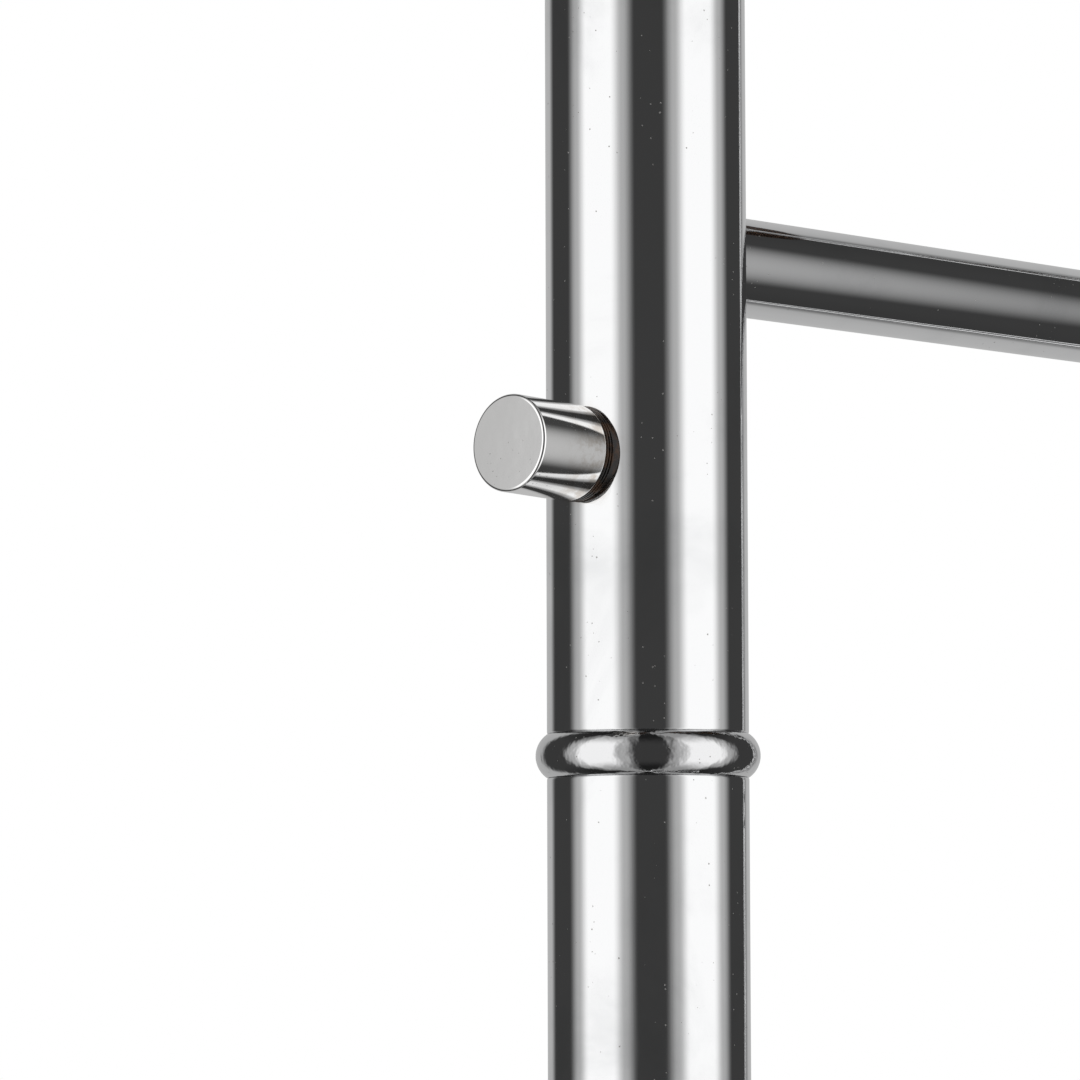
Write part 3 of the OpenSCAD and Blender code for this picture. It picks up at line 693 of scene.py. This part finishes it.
def makeGlideScrew(side, end):
    node = f"glide_screw_{end}_{side}"
    low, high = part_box(node)
    centre, cut = middle(node), glideCut
    hexBase = low[2] + (cut["pivot"] + 3 * mm)
    threadRadius = 4 * mm
    section = [(0, 0), (cut["pivot"] - 0.4 * mm, 0), (cut["pivot"], 0.4 * mm), (cut["pivot"], hexBase - low[2])]
    start, total = hexBase + cut["hexHeight"] - low[2], high[2] - low[2]
    turns = int((total - start - 0.8 * mm) / cut["pitch"])
    section.append((cut["pivot"], start))
    for i in range(turns):
        base = start + 0.3 * mm + cut["pitch"] * i
        section += [(threadRadius - cut["threadDepth"], base), (threadRadius, base + cut["pitch"] * 0.42),
                    (threadRadius, base + cut["pitch"] * 0.58)]
    section += [(threadRadius - cut["threadDepth"], total - 0.5 * mm), (threadRadius - 2 * cut["threadDepth"], total),
                (0, total)]
    screw = turnPiece(section, 64, at=(centre.x, centre.y, low[2]))
    clearSelection()
    bpy.ops.mesh.primitive_cylinder_add(vertices=6, radius=cut["hexAcross"] / 2 / math.cos(math.pi / 6),
                                        depth=cut["hexHeight"], rotation=(0, 0, math.pi / 6),
                                        location=(centre.x, centre.y, hexBase + cut["hexHeight"] / 2))
    nut = bpy.context.object
    applyPlace(nut)
    bpy.ops.object.mode_set(mode="EDIT")
    bpy.ops.mesh.select_all(action="SELECT")
    bpy.ops.mesh.bevel(offset=cut["hexRounding"], segments=3, affect="EDGES")
    bpy.ops.object.mode_set(mode="OBJECT")
    cutAway(screw, nut, "UNION")
    return finishPiece(screw, "visual_" + node, f"{end}_{side}_screw", looks["zinc"], [node], 25)


for side in sides:
    makeJointRing(side)
    makePeg(side)
    makePegWasher(side)
    for end in ends:
        makeFootPlug(side, end)
        makeGlidePad(side, end)
        makeGlideScrew(side, end)
print("turned pieces made")


hangerCut = {"endRounding": 18 * mm, "middleHalfHeight": 13 * mm, "shoulderHalfHeight": 11 * mm,
             "neckHalfDepth": 15 * mm, "shoulderHalfDepth": 27 * mm, "forward": 12 * mm, "slope": 0.3,
             "crown": 40 * mm, "stations": 34, "endStations": 9, "sectionPoints": 48, "squareness": 0.75,
             "socketGap": 0.05 * mm, "screwPocket": 5.8 * mm, "pocketFloor": 4.5 * mm}


def ease(t):
    return t * t * (3 - 2 * t)


def hangerSection(x, halfWidth, topZ):
    # height of the middle, push forward, half depth and half height, at a place across the hanger
    cut = hangerCut
    share = min(1.0, abs(x) / halfWidth)
    past = max(0.0, abs(x) - (halfWidth - cut["endRounding"])) / cut["endRounding"]
    closing = math.sqrt(max(0.004, 1 - past * past))
    depth = cut["neckHalfDepth"] + (cut["shoulderHalfDepth"] - cut["neckHalfDepth"]) * ease(min(1.0, share * 1.1))
    height = cut["middleHalfHeight"] + (cut["shoulderHalfHeight"] - cut["middleHalfHeight"]) * ease(share)
    drop = cut["slope"] * (math.hypot(x, cut["crown"]) - cut["crown"])
    return topZ - cut["middleHalfHeight"] - drop, -cut["forward"] * share ** 3, depth * closing, \
        height * math.sqrt(closing)


def makeHanger():
    low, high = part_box("hanger")
    cut, halfWidth = hangerCut, (high[0] - low[0]) / 2
    straight = halfWidth - cut["endRounding"]
    half = [straight * i / cut["stations"] for i in range(1, cut["stations"] + 1)]
    half += [straight + cut["endRounding"] * math.sin(math.pi / 2 * i / cut["endStations"])
             for i in range(1, cut["endStations"] + 1)]
    stations = [-x for x in reversed(half)] + [0.0] + half
    clearSelection()
    bpy.ops.mesh.primitive_circle_add(vertices=cut["sectionPoints"], radius=1.0, fill_type="NGON",
                                      rotation=(0, math.pi / 2, 0))
    hanger = bpy.context.object
    applyPlace(hanger)

    def full(value):
        return math.copysign(abs(value) ** cut["squareness"], value)
    outline = []
    for point in hanger.data.vertices:
        angle = math.atan2(point.co.z, point.co.y)
        outline.append((full(math.cos(angle)), full(math.sin(angle))))

    def place(points, x):
        z, y, depth, height = hangerSection(x, halfWidth, high[2])
        for point, (across, up) in zip(points, outline):
            point.co = (x, y + depth * across, z + height * up)
    place(hanger.data.vertices, stations[0])
    bpy.ops.object.mode_set(mode="EDIT")
    for before, x in zip(stations, stations[1:]):
        bpy.ops.mesh.select_all(action="DESELECT")
        work = bmesh.from_edit_mesh(hanger.data)
        work.faces.ensure_lookup_table()
        tip = max((f for f in work.faces if len(f.verts) == cut["sectionPoints"]),
                  key=lambda f: f.calc_center_median().x)
        tip.select_set(True)
        bmesh.update_edit_mesh(hanger.data)
        if before == stations[0]:
            bpy.ops.mesh.duplicate()  # the first face stays as the left end
            bpy.ops.mesh.extrude_region_move(TRANSFORM_OT_translate={"value": (x - before, 0, 0)})
        else:
            bpy.ops.mesh.extrude_region_move(TRANSFORM_OT_translate={"value": (x - before, 0, 0)})
        work = bmesh.from_edit_mesh(hanger.data)
        moved = sorted((v for v in work.verts if v.select), key=lambda v: v.index)
        tipFace = next(f for f in work.faces if f.select)
        nearest = {v: v.co.copy() for v in moved}
        z0, y0, depth0, height0 = hangerSection(before, halfWidth, high[2])
        z1, y1, depth1, height1 = hangerSection(x, halfWidth, high[2])
        for v in tipFace.verts:  # the section is resized and shifted about its own middle
            old = nearest[v]
            v.co = (x, y1 + (old.y - y0) * depth1 / depth0, z1 + (old.z - z0) * height1 / height0)
        bmesh.update_edit_mesh(hanger.data)
    bpy.ops.mesh.select_all(action="SELECT")
    bpy.ops.mesh.remove_doubles(threshold=0.00001)
    bpy.ops.mesh.normals_make_consistent(inside=False)
    bpy.ops.object.mode_set(mode="OBJECT")
    for side in sides:
        post, postSize = middle("upper_post_" + side), spanOf("upper_post_" + side)
        top = post.z + postSize.z / 2
        socket = addRod(postSize.x / 2 + cut["socketGap"], (post.x, 0, top - 0.04), (post.x, 0, top), 128)
        cutAway(hanger, socket)
        pocket = addRod(cut["screwPocket"], (post.x, 0, top + cut["pocketFloor"]), (post.x, 0, top + 0.05), 64)
        cutAway(hanger, pocket)
        hole = addRod(3.4 * mm, (post.x, 0, top - 0.001), (post.x, 0, top + 0.05), 48)
        cutAway(hanger, hole)
    return finishPiece(hanger, "visual_hanger", "stand", looks["wood"], ["hanger"], 50)


makeHanger()
print("hanger made")


trayCut = {"rim": 6 * mm, "floor": 5 * mm, "corner": 20 * mm, "web": 4 * mm, "height": 19 * mm,
           "keelWidth": 50 * mm, "rounding": 1.5 * mm, "keelRounding": 1.0 * mm}


def roundUprightEdges(box, radius, segments):
    bpy.ops.object.mode_set(mode="EDIT")
    selectParts(box, edges=lambda e: abs((e.verts[0].co - e.verts[1].co).normalized().z) > 0.99)
    bpy.ops.mesh.bevel(offset=radius, segments=segments, affect="EDGES")
    bpy.ops.object.mode_set(mode="OBJECT")


def addBox(low, high):
    low, high = Vector(low), Vector(high)
    clearSelection()
    bpy.ops.mesh.primitive_cube_add(size=1, location=(low + high) / 2, scale=high - low)
    box = bpy.context.object
    applyPlace(box)
    return box


def makeTray():
    low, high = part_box("tray")
    cut = trayCut
    floorZ = high[2] - cut["height"]
    tray = addBox((low[0], low[1], floorZ), (high[0], high[1], high[2]))
    roundUprightEdges(tray, cut["corner"], 14)
    bpy.ops.object.mode_set(mode="EDIT")
    selectParts(tray, faces=lambda f: f.normal.z > 0.9)
    bpy.ops.mesh.inset(thickness=cut["rim"])
    bpy.ops.mesh.extrude_region_move(TRANSFORM_OT_translate={"value": (0, 0, cut["floor"] - cut["height"])})

    def rimEdge(edge):
        flat = all(abs(v.co.z - high[2]) < 1e-5 or abs(v.co.z - floorZ) < 1e-5 for v in edge.verts)
        return flat and len(edge.link_faces) == 2 and edge.calc_face_angle(0) > 0.6 and \
            abs(edge.verts[0].co.z - edge.verts[1].co.z) < 1e-6
    selectParts(tray, edges=rimEdge)
    bpy.ops.mesh.bevel(offset=cut["rounding"], segments=4, affect="EDGES")
    bpy.ops.object.mode_set(mode="OBJECT")
    halfKeel = (high[0] - low[0]) / 2 - cut["corner"]
    keel = addBox((-halfKeel, -cut["keelWidth"] / 2, low[2]), (halfKeel, cut["keelWidth"] / 2, floorZ + 0.001))
    roundUprightEdges(keel, cut["keelRounding"] * 4, 6)
    cutAway(tray, keel, "UNION")
    bar = middle("tray_bar")
    barRadius = spanOf("tray_bar").z / 2 + 0.05 * mm
    cutAway(tray, addRod(barRadius, (low[0] - 0.01, 0, bar.z), (high[0] + 0.01, 0, bar.z), 128))
    return finishPiece(tray, "visual_tray", "stand", looks["wood"], ["tray"], 35)


linerCut = {"corner": 13.5 * mm, "edge": 0.5 * mm, "seamInset": 4 * mm, "stitch": 2.6 * mm, "pitch": 4.2 * mm,
            "thread": 0.55 * mm, "seamGroove": 0.35 * mm}


def makeLiner():
    low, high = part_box("tray_liner")
    cut = linerCut
    liner = addBox(low, high)
    roundUprightEdges(liner, cut["corner"], 12)
    bpy.ops.object.mode_set(mode="EDIT")
    selectParts(liner, faces=lambda f: f.normal.z > 0.9)
    bpy.ops.mesh.inset(thickness=cut["edge"])
    bpy.ops.mesh.inset(thickness=cut["seamInset"] - cut["edge"] - 0.6 * mm)
    bpy.ops.mesh.inset(thickness=0.6 * mm, depth=-cut["seamGroove"])
    bpy.ops.mesh.inset(thickness=0.6 * mm, depth=cut["seamGroove"])
    bpy.ops.object.mode_set(mode="OBJECT")
    return finishPiece(liner, "visual_tray_liner", "stand", looks["leather"], ["tray_liner"], 20)


def makeStitches():
    # one stitch is shaped, then copied round the seam
    low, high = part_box("tray_liner")
    cut = linerCut
    halfX, halfY = (high[0] - low[0]) / 2 - cut["seamInset"], (high[1] - low[1]) / 2 - cut["seamInset"]
    corner = cut["corner"] - cut["seamInset"]
    places = []
    straightX, straightY = halfX - corner, halfY - corner
    arc = math.pi / 2 * corner
    total = 4 * (straightX + straightY + arc)
    count = round(total / cut["pitch"])
    for i in range(count):
        places.append(seamPoint(total * i / count, straightX, straightY, corner, arc))
    stitches = []
    for x, y, angle in places:
        clearSelection()
        bpy.ops.mesh.primitive_uv_sphere_add(segments=8, ring_count=6, radius=0.5, location=(x, y, high[2]),
                                             rotation=(0, 0, angle),
                                             scale=(cut["stitch"], cut["thread"], cut["thread"] * 0.8))
        stitches.append(bpy.context.object)
    clearSelection()
    for stitch in stitches:
        stitch.select_set(True)
    bpy.context.view_layer.objects.active = stitches[0]
    bpy.ops.object.join()
    seam = bpy.context.object
    applyPlace(seam)
    return finishPiece(seam, "liner_stitches", "stand", looks["thread"])


def seamPoint(distance, straightX, straightY, corner, arc):
    # a place on a rounded rectangle and the way the seam runs there
    for quarter in range(4):
        along, across = (straightX, straightY) if quarter % 2 == 0 else (straightY, straightX)
        turn = quarter * math.pi / 2
        if distance < 2 * along:
            local = (-along + distance, -(across + corner), 0.0)
        elif distance < 2 * along + arc:
            bend = (distance - 2 * along) / corner
            local = (along + corner * math.sin(bend), -across - corner * math.cos(bend), bend)
        else:
            distance -= 2 * along + arc
            continue
        x, y, heading = local
        return (x * math.cos(turn) - y * math.sin(turn), x * math.sin(turn) + y * math.cos(turn), heading + turn)
    return (straightX + corner, 0.0, 0.0)


makeTray()
makeLiner()
makeStitches()
print("tray made")


carried = {"zinc": ["base_nut_", "foot_bolt_", "spigot_", "spigot_nut_", "peg_stud_", "top_nut_"],
           "turned": ["saddle_washer_", "tray_clip_", "hanger_screw_"]}
for look, starts in carried.items():
    for start in starts:
        for side in sides:
            frame["nodes"][start + side].data.materials.clear()
            frame["nodes"][start + side].data.materials.append(looks[look])
for node, look in (("glide_inserts", "zinc"), ("tray_screws", "turned")):
    frame["nodes"][node].data.materials.clear()
    frame["nodes"][node].data.materials.append(looks[look])


studio = {
    "facing": 135,  # degrees from +X, clockwise, to the side that the camera is on
    "wall": 0.5, "box": 1.2, "flag": 0.05,  # brightness of the walls, the soft boxes and the dark flags
    # what stands how many degrees away from the camera's side, the same to the left and to the right
    "panels": ((0, "flag"), (60, "box"), (120, "flag")),
    "halfWidth": 15, "softEdge": 15,
    # the room is evenly lit this many degrees up and down, and falls to a share of that further on
    "even": 30, "dim": 70, "share": 0.3, "strength": 1.0,
}


def addPanel(tree, apart, room, place, level):
    # a pair of soft-edged upright panels in front of what is there
    offset = addNode(tree, "Math", {"operation": "SUBTRACT"}, i0=apart, i1=place / 360)
    away = addNode(tree, "Math", {"operation": "ABSOLUTE"}, i0=offset.outputs[0])
    edge = studio["halfWidth"] + studio["softEdge"]
    mask = addNode(tree, "MapRange", {"interpolation_type": "SMOOTHSTEP"}, Value=away.outputs[0],
                   From_Min=studio["halfWidth"] / 360, From_Max=edge / 360, To_Min=1.0, To_Max=0.0)
    return mixColour(tree, mask.outputs["Result"], room, (level, level, level))


def makeRoom():
    world = bpy.data.worlds.new("studio")
    world.use_nodes = True
    bpy.context.scene.world = world
    tree = world.node_tree
    tree.nodes.clear()
    way = tree.nodes.new("ShaderNodeTexCoord").outputs["Generated"]
    axis = addNode(tree, "SeparateXYZ", Vector=way)
    around = addNode(tree, "Math", {"operation": "ARCTAN2"}, i0=axis.outputs["Y"], i1=axis.outputs["X"])
    turned = addNode(tree, "Math", {"operation": "MULTIPLY_ADD"}, i0=around.outputs[0], i1=0.5 / math.pi,
                     i2=studio["facing"] / 360 + 1.5)
    share = addNode(tree, "Math", {"operation": "FRACT"}, i0=turned.outputs[0])
    middle = addNode(tree, "Math", {"operation": "SUBTRACT"}, i0=share.outputs[0], i1=0.5)
    apart = addNode(tree, "Math", {"operation": "ABSOLUTE"}, i0=middle.outputs[0]).outputs[0]
    seen = (studio["wall"],) * 3
    for place, kind in studio["panels"]:
        seen = addPanel(tree, apart, seen, place, studio[kind])
    height = addNode(tree, "Math", {"operation": "ARCSINE"}, i0=axis.outputs["Z"])
    upOrDown = addNode(tree, "Math", {"operation": "ABSOLUTE"}, i0=height.outputs[0])
    left = addNode(tree, "MapRange", {"interpolation_type": "SMOOTHSTEP"}, Value=upOrDown.outputs[0],
                   From_Min=math.radians(studio["even"]), From_Max=math.radians(studio["dim"]),
                   To_Min=1.0, To_Max=studio["share"])
    seen = addNode(tree, "VectorMath", {"operation": "SCALE"}, i0=seen, Scale=left.outputs["Result"]).outputs[0]
    room = addNode(tree, "Background", {}, Color=seen, Strength=studio["strength"])
    plain = addNode(tree, "Background", {}, Color=(1, 1, 1, 1), Strength=1.0)
    path = tree.nodes.new("ShaderNodeLightPath")
    both = addNode(tree, "MixShader", {}, i0=path.outputs["Is Camera Ray"], i1=room.outputs[0],
                   i2=plain.outputs[0])
    out = tree.nodes.new("ShaderNodeOutputWorld")
    tree.links.new(both.outputs[0], out.inputs["Surface"])


overhead = {"height": 2.6, "size": 3.0, "power": 60.0}


def makeOverheadLight():
    light = bpy.data.lights.new("overhead", "AREA")
    light.shape, light.size, light.energy = "SQUARE", overhead["size"], overhead["power"]
    lamp = bpy.data.objects.new("overhead", light)
    bpy.context.scene.collection.objects.link(lamp)
    lamp.location = (0, 0, overhead["height"])
    lamp.visible_camera = False
    lamp.visible_glossy = False


floorLook = {"radius": 2.6, "fadeFrom": 0.9, "colour": (0.86, 0.86, 0.86)}


def makeFloor():
    clearSelection()
    bpy.ops.mesh.primitive_circle_add(vertices=128, radius=floorLook["radius"], fill_type="NGON")
    floor = bpy.context.object
    floor.name = "floor"
    material, tree, shader, spot = newMaterial("paleFloor")
    reach = addNode(tree, "VectorMath", {"operation": "LENGTH"}, i0=spot)
    fade = addNode(tree, "MapRange", {"interpolation_type": "SMOOTHSTEP"}, Value=reach.outputs["Value"],
                   From_Min=floorLook["fadeFrom"], From_Max=floorLook["radius"] * 0.98)
    shader.inputs["Base Color"].default_value = (*floorLook["colour"], 1)
    shader.inputs["Roughness"].default_value = 0.9
    shader.inputs["Specular IOR Level"].default_value = 0.0
    glow = addNode(tree, "Emission", {}, Color=(1, 1, 1, 1), Strength=1.0)
    both = addNode(tree, "MixShader", {}, i0=fade.outputs["Result"], i1=shader.outputs[0], i2=glow.outputs[0])
    tree.links.new(both.outputs[0], tree.nodes["Material Output"].inputs["Surface"])
    floor.data.materials.append(material)
    floor.visible_glossy = False


view = {"lens": 182.9, "heading": 42.79, "pitch": 4.62, "roll": 0.16, "distance": 868 * mm, "aside": 17.2 * mm,
        "belowRing": 35.8 * mm}


def makeCamera():
    camera = bpy.data.cameras.new("camera")
    camera.lens, camera.sensor_width = view["lens"], 36.0
    obj = bpy.data.objects.new("camera", camera)
    bpy.context.scene.collection.objects.link(obj)
    heading, pitch = math.radians(view["heading"]), math.radians(view["pitch"])
    ahead = Vector((math.cos(heading), math.sin(heading), 0))
    right = Vector((math.sin(heading), -math.cos(heading), 0))
    ring = middle("joint_ring_left")
    obj.location = ring - ahead * view["distance"] - right * view["aside"] - zAxis * view["belowRing"]
    obj.rotation_mode = "XYZ"
    obj.rotation_euler = (math.pi / 2 + pitch, math.radians(view["roll"]), heading - math.pi / 2)
    camera.clip_start, camera.clip_end = 0.01, 100
    bpy.context.scene.camera = obj


makeRoom()
makeOverheadLight()
makeFloor()
makeCamera()
bpy.context.scene.view_settings.view_transform = "Standard"
print("studio made")
